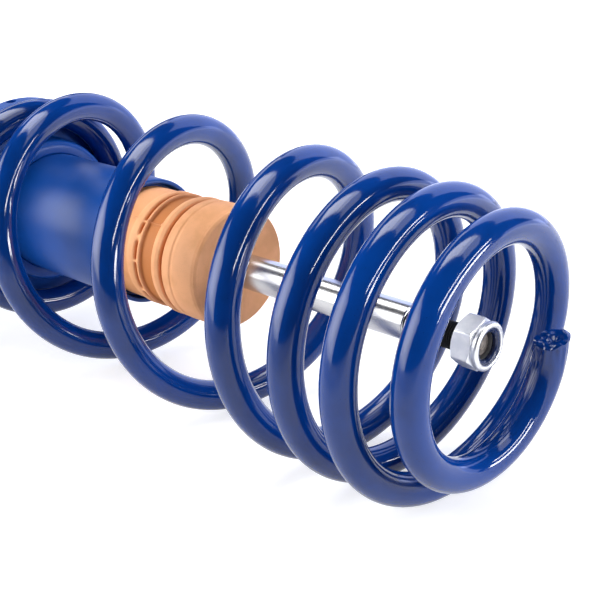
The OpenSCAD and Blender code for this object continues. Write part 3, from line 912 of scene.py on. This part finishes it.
class STRUT_OT_tube(StrutPiece, bpy.types.Operator):
    """Build the damper tube and the cap that closes it"""

    bl_idname = "strut.tube"
    bl_label = "Damper Tube"

    def build(self, scene):
        size = scene.strut_damper
        paint = satin_paint()
        r, x0, x1 = TUBE_HIGH.z, TUBE_LOW.x, TUBE_HIGH.x
        tube = lathe("tube", rounded([
            (x1, r - TUBE_WALL, 0), (x1, r, 0.35), (x0, r, 0.2), (x0, r - TUBE_WALL, 0),
        ]))
        give(tube, paint, "tube", "blue_paint", "damper_tube")
        cap_x, cup = CAP_HIGH.x, r - size.cap_wall
        floor_x = cap_x - CUP_DEPTH
        rod = size.rod_d / 2 + 0.5 * MM
        cap = lathe("cap", rounded([
            (x1, rod, 0), (x1, r, 0.5), (cap_x, r, 1.1), (cap_x, cup, 0.6),
            (floor_x, cup, 0.8), (floor_x, rod, 0.4),
        ]))
        give(cap, paint, "tube", "blue_paint", "end_cap")


# Webs that each half of the mould leaves across the stop's first groove: angle, width and reach
WEBS = tuple(
    (math.radians(angle + half), wide * MM, reach * MM)
    for half in (0, 180)
    for angle, wide, reach in (
        (47, 0.7, 1.6), (64, 1.9, 2.6), (88, 0.9, 1.7), (122, 1.2, 1.8), (158, 0.8, 1.6),
    )
)
# Angles and width of the mould's parting lines
PARTINGS, PARTING_WIDTH = (math.radians(46), math.radians(226)), 0.4 * MM
# Lengths of the ridge, the thin ring and the last ring behind the body
RIDGE, THIN_RING, LAST_RING = 7.9 * MM, 8.8 * MM, 6.3 * MM
WOBBLE, WOBBLE_ALONG, WOBBLE_ROUND = 0.14 * MM, 30, 0.9  # Height and scales of its unevenness
FINE_RADIUS, FINE_STEP = 12 * MM, 1.2 * MM  # The outline is divided finely beyond this radius


class STRUT_OT_stop(StrutPiece, bpy.types.Operator):
    """Build the foam bump stop with its grooves, parting lines and webs"""

    bl_idname = "strut.stop"
    bl_label = "Bump Stop"

    def build(self, scene):
        size = scene.strut_stop
        cap_x = CAP_HIGH.x
        x0, x1, r = STOP_LOW.x, STOP_HIGH.x, STOP_HIGH.z
        bore = scene.strut_damper.rod_d / 2 + 0.4 * MM
        body_x = x1 - STOP_BODY
        ridge_x = body_x - RIDGE
        thin_x = ridge_x - THIN_RING
        ring_x = thin_x - LAST_RING
        low, foot, valley = r - 0.5 * MM, r - size.groove, r - size.valley
        neck = r - 1.2 * MM
        # From each place along X: offset, radius, its offset and fillet of the corners, in mm
        profile = (
            (x0, ((0, bore, 0, 0), (0, neck, 0, 1))),
            (ring_x, ((-0.7, neck, 0, 0.6), (0.3, low, -0.3, 0.8), (1.6, low, 0, 1))),
            (thin_x, (
                (-2.2, low, -0.1, 1.2), (-1.5, foot, 0, 0.25), (-0.7, foot, 0, 0.25),
                (-0.2, low, -0.4, 0.4), (0.7, low, 0, 0.7), (1.3, low, -0.4, 0.6),
                (1.9, valley, 0, 0.6),
            )),
            (ridge_x, (
                (-0.5, valley, 0, 0.9), (0.5, r, -0.5, 1.2), (3, r, 0, 1.8), (4.9, r, -0.5, 0.9),
                (5.5, foot, 0, 0.2), (6, foot, 0, 0.2), (6.5, r, -1, 0.6),
            )),
            (body_x, (
                (-0.2, r, -0.15, 0.9), (3.6, r, 0, 1), (4.2, r, -0.28, 0.5), (5, r, -0.28, 0.5),
                (5.6, r, 0, 0.8),
            )),
            (x1, (
                (-2.2, r, -0.05, 0.6), (-1.5, r, -0.3, 0.5), (-0.9, r, -0.35, 0.4),
                (0, r, -1.2, 0.9), (0, bore, 1.2, 0.8), (-1.6, bore, 0, 0.6),
            )),
        )
        outline = self.divide(rounded([
            (x + dx * MM, radius + rise * MM, fillet)
            for x, corners in profile
            for dx, radius, rise, fillet in corners
        ], 6))

        def swell(angle, radius, x):
            if radius < bore + 2 * MM:
                return radius
            side, up = math.sin(angle) * WOBBLE_ROUND, math.cos(angle) * WOBBLE_ROUND
            wobble = noise.noise(Vector((x * WOBBLE_ALONG, side, up))) * WOBBLE
            parting = sum(
                math.exp(-((math.remainder(angle - at, TURN) * radius / PARTING_WIDTH) ** 2))
                for at in PARTINGS
            )
            inside = cap_x < x < ring_x + 0.5 * MM or thin_x < x < ridge_x + 1.5 * MM
            web = 0
            for at, wide, reach in WEBS:
                along = (x - thin_x + 1.1 * MM) / reach
                across = math.remainder(angle - at, TURN) * radius / wide
                web += math.exp(-(across ** 2) - along ** 4)
            return radius + wobble + max(
                size.flash * parting if inside else 0,
                size.webs * min(web, 1) * max(0, low - 0.2 * MM - radius),
            )

        stop = lathe("bump_stop_foam", outline, segments=384, radius=swell)
        give(stop, foam_skin(), "tube", "foam", "bump_stop")

    def divide(self, outline):
        """The outline with its long outer steps divided, so that webs and wobble show."""
        made = []
        for a, b in zip(outline, outline[1:] + outline[:1]):
            outer = min(a[1], b[1]) > FINE_RADIUS
            steps = max(1, math.ceil(math.dist(a, b) / FINE_STEP)) if outer else 1
            for k in range(steps):
                made.append(tuple(p + (q - p) * k / steps for p, q in zip(a, b)))
        return made


SPIGOT_X = 213.7 * MM  # Where the rod narrows for the piston
# The thread: its depth as a share of the pitch, the steepness of its flanks, steps per turn,
# where it starts, the length over which it deepens, and the chamfer of the stud's end
THREAD_DEPTH, THREAD_SLOPE, THREAD_STEPS = 0.61, 1.25, 8
THREAD_START, THREAD_RUN_IN, STUD_CHAMFER = 1.5 * MM, 1.2 * MM, 1.1 * MM


class STRUT_OT_rod(StrutPiece, bpy.types.Operator):
    """Build the chromed rod and its blackened, threaded stud"""

    bl_idname = "strut.rod"
    bl_label = "Rod and Stud"

    def build(self, scene):
        size = scene.strut_damper
        r, stud = size.rod_d / 2, size.stud_d / 2
        x0, x1 = ROD_LOW.x, ROD_HIGH.x
        shoulder = x1 - size.stud_len
        core = shoulder + 0.6 * MM
        rod = lathe("rod", rounded([
            (x0, AXIS, 0), (core, AXIS, 0), (core, stud - 1 * MM, 0),
            (shoulder, stud - 0.9 * MM, 0), (shoulder, r, 0.7), (SPIGOT_X, r, 0.4),
            (SPIGOT_X, stud, 0.3), (x0, stud, 1),
        ]), segments=96)
        give(rod, hard_chrome(), "rod", "chrome", "piston_rod")
        give(self.threaded(shoulder, x1, stud, size.thread_pitch), black_oxide(), "rod", "chrome")
        end = lathe("stud_end", rounded([
            (x1 - 1.4 * MM, AXIS, 0), (x1 + 0.02 * MM, AXIS, 0),
            (x1 + 0.02 * MM, 1.1 * MM, 0.1), (x1 - 0.5 * MM, 1.5 * MM, 0.2),
            (x1, 1.9 * MM, 0.1), (x1 - 0.01 * MM, stud - 1.1 * MM, 0.2),
            (x1 - 1.4 * MM, stud - 1.0 * MM, 0),
        ]), segments=64)
        give(end, stud_steel(), "rod", "bare_steel")

    def threaded(self, x0, x1, radius, pitch):
        """A stud whose thread starts shallow at its root and ends in a chamfer."""
        depth = THREAD_DEPTH * pitch
        steps = int((x1 - x0) / pitch * THREAD_STEPS)
        rows = [x0 + (x1 - x0) * i / steps for i in range(steps + 1)]

        def cut(angle, r, x):
            if r < radius * 0.5:
                return r
            phase = (x / pitch - angle / TURN) % 1
            groove = 1 - min(1, abs(phase * 2 - 1) * THREAD_SLOPE)
            run_in = min(1, max(0, (x - x0 - THREAD_START) / THREAD_RUN_IN))
            end = max(0, 1 - (x1 - x) / STUD_CHAMFER)
            return radius - max(depth * groove * run_in, end * STUD_CHAMFER)

        sunk = x1 - 0.9 * MM  # Behind the face of stud_end
        outline = [(x, radius) for x in rows]
        outline += [(sunk, radius * 0.48), (sunk, AXIS), (x0, AXIS)]
        return lathe("stud_thread", outline, segments=60, radius=cut)


# The nut's chamfers: their slope, where they start inside the flats, and their steps
CHAMFER_SLOPE, CHAMFER_START, CHAMFER_STEPS = math.tan(math.radians(30)), 0.35 * MM, 10
CORNER_WEAR = 0.12 * MM  # How far its corners are rubbed down


class STRUT_OT_nut(StrutPiece, bpy.types.Operator):
    """Build the locking nut, its rolled collar and the nylon ring"""

    bl_idname = "strut.nut"
    bl_label = "Locking Nut"

    def build(self, scene):
        size = scene.strut_nut
        flat, corner = size.flats / 2, size.flats / 2 / math.cos(math.pi / 6)
        x0, x1 = NUT_LOW.x, NUT_HIGH.x
        hex_end = x0 + size.hex_len
        stud, mouth, collar = scene.strut_damper.stud_d / 2, size.mouth_d / 2, NUT_HIGH.y
        rise = (corner - flat + CHAMFER_START) * CHAMFER_SLOPE

        def hexagon(angle, radius, x):
            if radius < flat * 0.9:
                return radius
            sector = math.remainder(angle - math.pi / 6 + size.turn, math.pi / 3)
            side = min(flat / math.cos(sector), corner - CORNER_WEAR)
            edge = min(x - x0, hex_end - x)
            return min(side, flat - CHAMFER_START + max(0, edge) / CHAMFER_SLOPE)

        chamfer = [rise * k / CHAMFER_STEPS for k in range(CHAMFER_STEPS + 1)]
        outline = [(x0, stud + 0.6 * MM), (x0, flat - 0.4 * MM)]
        outline += [(x0 + c, corner) for c in chamfer]
        outline += [(hex_end - c, corner) for c in reversed(chamfer)]
        bore = stud + 2 * PLAY
        outline += [(hex_end, flat - 1.2 * MM), (hex_end, bore), (x0 + 0.6 * MM, bore)]
        nut = lathe("nut_hexagon", outline, segments=240, radius=hexagon)
        zinc = zinc_plate()
        give(nut, zinc, "rod", "zinc", "top_nut")
        low, floor_x, fold_x = hex_end - 0.6 * MM, hex_end + 0.3 * MM, x1 - 1.1 * MM
        root, waist, wall = stud + 1.6 * MM, collar - 0.9 * MM, collar - 1.2 * MM
        crown = lathe("nut_collar", rounded([
            (low, root, 0), (low, waist, 0), (hex_end + 0.35 * MM, waist, 0.15),
            (hex_end + 0.75 * MM, collar - 0.1 * MM, 0.35), (x1 - 0.5 * MM, collar, 0.9),
            (x1, collar - 1 * MM, 0.6), (x1, mouth, 0.5), (fold_x, mouth, 0.3),
            (fold_x, wall, 0), (floor_x, wall, 0), (floor_x, root, 0),
        ], 6))
        give(crown, zinc, "rod", "zinc")
        ring_x, hole, rim = RING_HIGH.x, stud + PLAY, collar - 1.25 * MM
        ring = lathe("nylon_ring", rounded([
            (RING_LOW.x, hole, 0.4), (RING_LOW.x, rim, 0), (ring_x, rim, 0.2),
            (ring_x, stud + 0.75 * MM, 0.5), (ring_x - 0.7 * MM, hole, 0.3),
        ]), segments=128)
        give(ring, nylon(), "rod", "nylon", "nut_ring")


# A serration's width, its share of the sleeve's wall and the depth of its middle in the end face
TOOTH_WIDTH, TOOTH_SPAN, TOOTH_SINK = 0.5 * MM, 0.66, 0.12 * MM
# Lengths of the bottom cap's flange and neck
FLANGE_LENGTH, NECK_LENGTH = 4 * MM, 8 * MM


class STRUT_OT_eye(StrutPiece, bpy.types.Operator):
    """Build the lower eye: bottom cap, ring, rubber, sleeve and weld beads"""

    bl_idname = "strut.eye"
    bl_label = "Lower Eye"

    def build(self, scene):
        size = scene.strut_eye
        paint = satin_paint()
        outer, half = EYE_HIGH.x, EYE_HIGH.y
        inner = outer - size.wall
        ring = lathe("eye_ring_painted", rounded([
            (-half, inner, 0.5), (-half, outer, 0.9),
            (half, outer, 0.9), (half, inner, 0.5),
        ]), axis="Y")
        give(ring, paint, "tube", "blue_paint", "eye_ring")

        sleeve_r, lip = SLEEVE_HIGH.x, BUSH_HIGH.y
        face = half - 1 * MM
        rubber_r = inner - PLAY
        lip_r = sleeve_r + 0.55 * (inner - sleeve_r)
        one_side = [
            (face, rubber_r, 0.4), (face - 1.5 * MM, rubber_r - 1.6 * MM, 0.5),
            (face - 1.5 * MM, lip_r + 1.2 * MM, 0.6), (lip - 0.6 * MM, lip_r, 0.7),
            (lip, sleeve_r + 2.4 * MM, 0.6), (lip, sleeve_r + 0.7 * MM, 0.4),
            (lip - 1.2 * MM, sleeve_r + PLAY, 0.3),
        ]
        other_side = [(-y, r, fillet) for y, r, fillet in reversed(one_side)]
        bush = lathe("eye_rubber", rounded(one_side + other_side), axis="Y")
        give(bush, black_rubber(), "tube", "rubber", "eye_bush")

        zinc = zinc_plate()
        end, hole = SLEEVE_HIGH.y, size.hole_d / 2
        sleeve = lathe("sleeve_zinc", rounded([
            (-end, hole, 0.5), (-end, sleeve_r, 0.6),
            (end, sleeve_r, 0.6), (end, hole, 0.5),
        ]), segments=128, axis="Y")
        give(sleeve, zinc, "sleeve", "zinc", "eye_sleeve")
        tree = teeth_tree(zinc)
        for name, sign in (("sleeve_teeth_left", -1), ("sleeve_teeth_right", 1)):
            teeth = run_tree(name, tree, zinc, {
                "Size": (TOOTH_WIDTH, TOOTH_WIDTH, (sleeve_r - hole) * TOOTH_SPAN),
                "Place": sign * (end - TOOTH_SINK), "Radius": (sleeve_r + hole) / 2,
                "Count": size.teeth,
            })
            give(teeth, zinc, "sleeve", "zinc")

        r, neck, x0 = TUBE_HIGH.z, size.neck_d / 2, TUBE_LOW.x
        flange, lap = x0 - FLANGE_LENGTH, x0 - PLAY
        clear = outer + PLAY
        low = clear - NECK_LENGTH
        base = bmesh.new()
        outline = rounded([
            (low, AXIS, 0), (low, neck, 0), (flange, neck, 2.5), (flange, r, 2),
            (lap, r, 0.4), (lap, r - TUBE_WALL, 0), (BASE_HIGH.x, r - TUBE_WALL - PLAY, 0.5),
            (BASE_HIGH.x, AXIS, 0),
        ], 6)
        revolve(base, outline)
        for v in base.verts:
            if v.co.x < clear:
                reach = math.sqrt(max(0.0, clear ** 2 - min(abs(v.co.z), clear) ** 2))
                v.co.x = max(v.co.x, reach)
        bottom = object_from(base, "bottom_cap_painted")
        give(bottom, paint, "tube", "blue_paint", "bottom_cap")

        weld = weld_paint()
        bead = bead_tree(weld)
        wide, seat_x = size.weld_d, SEAT_HIGH.x - scene.strut_damper.sheet - 0.8 * MM
        beads = {
            "weld_bottom": (x0, r + 0.1 * MM, wide * 0.8, 0.0, 110, 3),
            "weld_eye": (0.0, neck + 0.4 * MM, wide * 1.1, outer + 0.6 * MM, 64, 5),
            "weld_seat": (seat_x, r + 0.2 * MM, wide * 0.7, 0.0, 120, 8),
        }
        keys = ("Centre X", "Radius", "Width", "Saddle Radius", "Ripples", "Seed")
        for name, values in beads.items():
            made = run_tree(name, bead, weld, dict(zip(keys, values)))
            shade(made, sharp=80)
            give(made, weld, "tube", "blue_paint")


class STRUT_OT_insides(StrutPiece, bpy.types.Operator):
    """Give the pieces inside the tube their finishes"""

    bl_idname = "strut.insides"
    bl_label = "Inner Pieces"

    def build(self, scene):
        steel = inner_metal("oiled_steel", (0.36, 0.36, 0.37), (0.55, 0.55, 0.56), 0.25)
        discs = inner_metal("disc_steel", (0.3, 0.31, 0.35), (0.46, 0.47, 0.5), 0.2)
        iron = inner_metal("sintered_iron", (0.13, 0.13, 0.13), (0.25, 0.25, 0.24), 0.5)
        bronze = inner_metal("rolled_bronze", (0.4, 0.24, 0.1), (0.62, 0.4, 0.2), 0.3)
        rubber, band = black_rubber(), slide_plastic()
        finishes = {
            "pressure_cylinder": steel, "base_valve_bolt": steel, "rebound_collar": steel,
            "piston_nut": steel, "base_valve_discs": discs,
            "compression_discs": discs, "rebound_discs": discs,
            "rod_guide": iron, "piston": iron, "base_valve_body": iron,
            "guide_bushing": bronze, "rod_seal": rubber, "guide_o_ring": rubber,
            "rebound_stop": rubber, "piston_band": band,
        }
        for name, material in finishes.items():
            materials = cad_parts[name].data.materials
            materials.clear()
            materials.append(material)


LAMP_AIM = Vector((0.3, 0, 0))  # Near the strut's middle
COOL = (0.82, 0.93, 1.45)  # Colour of the lamps behind the strut
ROUND_LAMPS = ("left_heart",)
# Soft boxes round that point: name, place, bearing of the long side in degrees, width and height
# in metres, radiance. Inner boxes brighten the middle of outer ones.
LAMPS = (
    ("left_outer", (-0.93, -1.16, 0.5), -39, 1.9, 1.33, 3.0),
    ("left_middle", (-0.93, -1.16, 0.52), -39, 1.3, 1.0, 1.4),
    ("left_heart", (-0.92, -1.15, 0.55), -39, 0.85, 0.75, 1.3),
    ("left_edge", (-1.43, -0.44, 0.13), -73, 0.3, 0.55, 1.8),
    ("left_rim", (-1.18, 0.48, 0.8), 68, 0.8, 0.3, 2.0),
    ("over_outer", (0.1, 0.24, 1.5), 13, 2.6, 0.55, 2.0),
    ("over_middle", (-0.22, 0.12, 1.5), 15, 1.6, 0.62, 2.6),
    ("over_heart", (-0.35, 0.08, 1.5), 15, 1.1, 0.5, 2.3),
    ("back", (-0.28, 1.3, 0.6), 0, 1.75, 1.4, 1.3),
    ("back_low", (0.62, 1.25, 0.0), 0, 0.8, 0.4, 1.3),
    ("back_side", (-1.7, 1.1, 0.25), 30, 0.9, 0.7, 0.6),
    ("right_strip", (1.39, 0.55, 0.16), 112, 0.95, 0.17, 24.0),
    ("right_line", (1.38, 0.34, 0.56), 104, 1.3, 0.08, 24.0),
)


# The floor: its half size, its drop below the strut, its colours, the distances over which it
# turns white round the strut and loses its shine in front of it, and its brightness in reflections
FLOOR_SIZE, FLOOR_DROP = 8, 0.2 * MM
FLOOR_COLOUR, FLOOR_GLOW = (0.62, 0.62, 0.62), (0.66, 0.66, 0.66)
FLOOR_WHITENS, FLOOR_DULLS = (0.35, 0.8), (0.16, 0.3)
FLOOR_SHINE, FLOOR_SHINE_LOST = 0.75, 0.7
AIR_TINT, AIR_LIGHT, AIR_SHINE = (0.9, 0.93, 1.0), 0.03, 0.02
CAMERA_PLACE, CAMERA_AIM = (0.63306, -0.30068, 0.14872), (-0.63195, 0.68989, -0.35311)
CAMERA_LENS, CAMERA_SENSOR = 67.19, 36


class STRUT_OT_stage(StrutPiece, bpy.types.Operator):
    """Set up the pale floor, the soft lights and the camera"""

    bl_idname = "strut.stage"
    bl_label = "Studio"

    def build(self, scene):
        self.floor()
        self.world(scene)
        self.lamps(scene)
        self.camera(scene)

    def floor(self):
        """A pale floor that keeps the shadow and runs out into white."""
        s = Shader("pale_floor")
        x, y, _ = s.axes()
        x = x - LAMP_AIM.x
        far = s.band((x * x + y * y).sqrt(), *FLOOR_WHITENS)
        front = s.band(y * -1.0, *FLOOR_DULLS)
        white = s.mix(far, rgba(FLOOR_GLOW), (1, 1, 1, 1))
        lit = s.add("ShaderNodeBsdfDiffuse", sockets={"Color": rgba(FLOOR_COLOUR)})
        glow = s.add("ShaderNodeEmission", sockets={"Color": white, "Strength": 1.0})
        both = s.add("ShaderNodeAddShader", sockets={0: lit, 1: glow})
        share = s.white_share(FLOOR_SHINE - front * FLOOR_SHINE_LOST)
        s.output(s.add("ShaderNodeMixShader", sockets={0: share, 1: lit, 2: both}))
        bm = bmesh.new()
        bmesh.ops.create_grid(bm, x_segments=1, y_segments=1, size=FLOOR_SIZE)
        for v in bm.verts:
            v.co.z = CAD_BOX[0].z - FLOOR_DROP
        floor = object_from(bm, "floor")
        floor.data.materials.append(s.material)

    def world(self, scene):
        """White air to the camera, and nearly dark to the strut."""
        world = bpy.data.worlds.new("studio_air")
        scene.world = world
        world.use_nodes = True
        world.node_tree.nodes.clear()
        g = Graph(world.node_tree)
        dim, white = (
            g.add("ShaderNodeBackground", sockets={"Color": rgba(colour), "Strength": strength})
            for colour, strength in ((AIR_TINT, AIR_LIGHT), ((1, 1, 1), 1.0))
        )
        share = g.white_share(AIR_SHINE)
        air = g.add("ShaderNodeMixShader", sockets={0: share, 1: dim, 2: white})
        g.node("ShaderNodeOutputWorld", sockets={"Surface": air})

    def lamps(self, scene):
        """Soft boxes. Each faces the middle of the strut, and inner boxes brighten outer ones."""
        for name, place, along, width, tall, radiance in LAMPS:
            data = bpy.data.lights.new(name, "AREA")
            is_round = name in ROUND_LAMPS
            data.shape = "ELLIPSE" if is_round else "RECTANGLE"
            data.size, data.size_y = width, tall
            data.energy = math.pi * width * tall * (math.pi / 4 if is_round else 1) * radiance
            data.color = COOL if name.startswith("back") else (1, 1, 1)
            lamp = bpy.data.objects.new(name, data)
            back = Vector(place).normalized()
            side = Vector((math.cos(math.radians(along)), math.sin(math.radians(along)), 0))
            side = (side - back * side.dot(back)).normalized()
            turn = Matrix((side, back.cross(side), back)).transposed()
            lamp.matrix_world = Matrix.Translation(LAMP_AIM + Vector(place)) @ turn.to_4x4()
            scene.collection.objects.link(lamp)

    def camera(self, scene):
        data = bpy.data.cameras.new("camera")
        data.sensor_width, data.lens = CAMERA_SENSOR, CAMERA_LENS
        data.clip_start, data.clip_end = 0.01, 50
        camera = bpy.data.objects.new("camera", data)
        camera.location = CAMERA_PLACE
        camera.rotation_mode = "QUATERNION"
        camera.rotation_quaternion = Vector(CAMERA_AIM).to_track_quat("-Z", "Y")
        scene.collection.objects.link(camera)
        scene.camera = camera
        scene.view_settings.view_transform = "Standard"


SIZES = {
    "strut_spring": StrutSpringSizes,
    "strut_damper": StrutDamperSizes,
    "strut_stop": StrutStopSizes,
    "strut_nut": StrutNutSizes,
    "strut_eye": StrutEyeSizes,
    "strut_colours": StrutColours,
}
PIECES = (
    STRUT_OT_spring, STRUT_OT_seat, STRUT_OT_tube, STRUT_OT_stop, STRUT_OT_rod,
    STRUT_OT_nut, STRUT_OT_eye, STRUT_OT_insides, STRUT_OT_stage,
)


class STRUT_PT_panel(bpy.types.Panel):
    """Lists the strut's pieces with their sizes"""

    bl_idname = "STRUT_PT_panel"
    bl_label = "Suspension Strut"
    bl_space_type = "VIEW_3D"
    bl_region_type = "UI"
    bl_category = "Strut"

    def draw(self, context):
        for name, group in SIZES.items():
            box = self.layout.box()
            box.label(text=group.__doc__)
            values = getattr(context.scene, name)
            for key in group.__annotations__:
                box.prop(values, key)
        for piece in PIECES:
            self.layout.operator(piece.bl_idname)


CLASSES = (*SIZES.values(), *PIECES, STRUT_PT_panel)


def register():
    for made in CLASSES:
        bpy.utils.register_class(made)
    for name, group in SIZES.items():
        setattr(bpy.types.Scene, name, PointerProperty(type=group))


def unregister():
    for name in SIZES:
        delattr(bpy.types.Scene, name)
    for made in reversed(CLASSES):
        bpy.utils.unregister_class(made)


def main():
    register()
    for piece in PIECES:
        group, name = piece.bl_idname.split(".")
        getattr(getattr(bpy.ops, group), name)()


if __name__ == "__main__":
    main()
